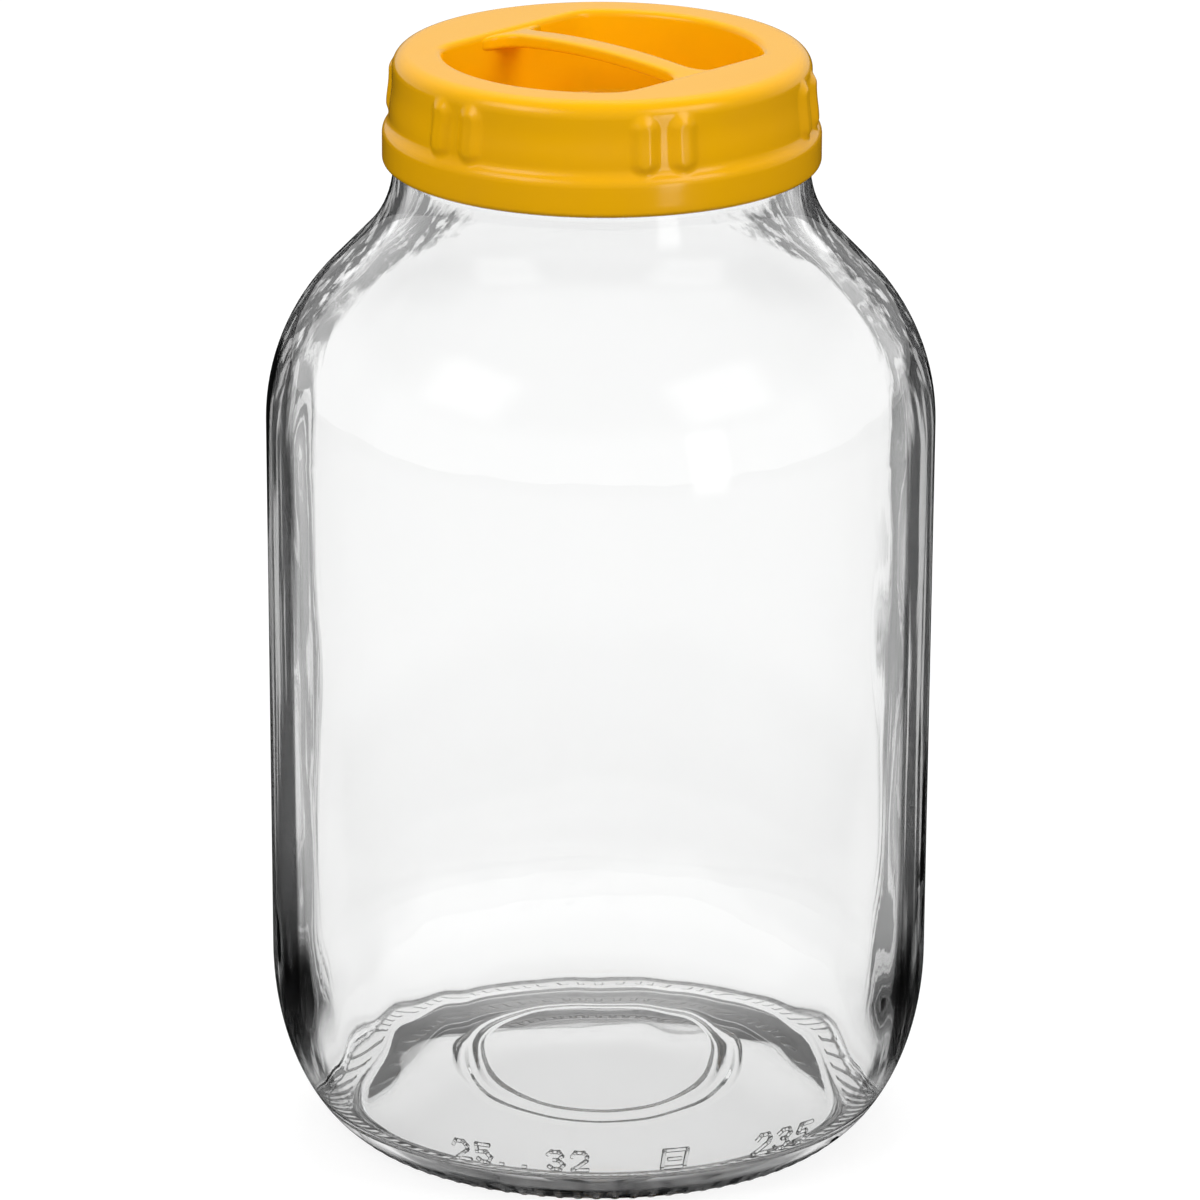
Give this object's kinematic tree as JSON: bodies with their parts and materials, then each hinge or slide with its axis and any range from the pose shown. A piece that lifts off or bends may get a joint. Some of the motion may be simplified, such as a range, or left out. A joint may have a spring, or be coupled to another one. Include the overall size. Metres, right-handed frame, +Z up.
{
  "type": "twist-off jar",
  "caption": "Wide-mouth clear glass storage jar, empty, closed by a yellow moulded twist-off cap with a sunken carry bar.",
  "frame": {"origin": "on the jar's axis, in the plane that it stands on", "axes": "+Z up along the jar's axis, +X along the cap's carry bar"},
  "size_m": [0.167, 0.167, 0.2798],
  "materials": {
    "glass": "clear flint glass, fire-polished outside, slightly wavy inside",
    "cap": "glossy yellow moulded polypropylene"
  },
  "bodies": {
    "root": {"jar": "glass", "lid": "cap"}
  },
  "joints": []
}
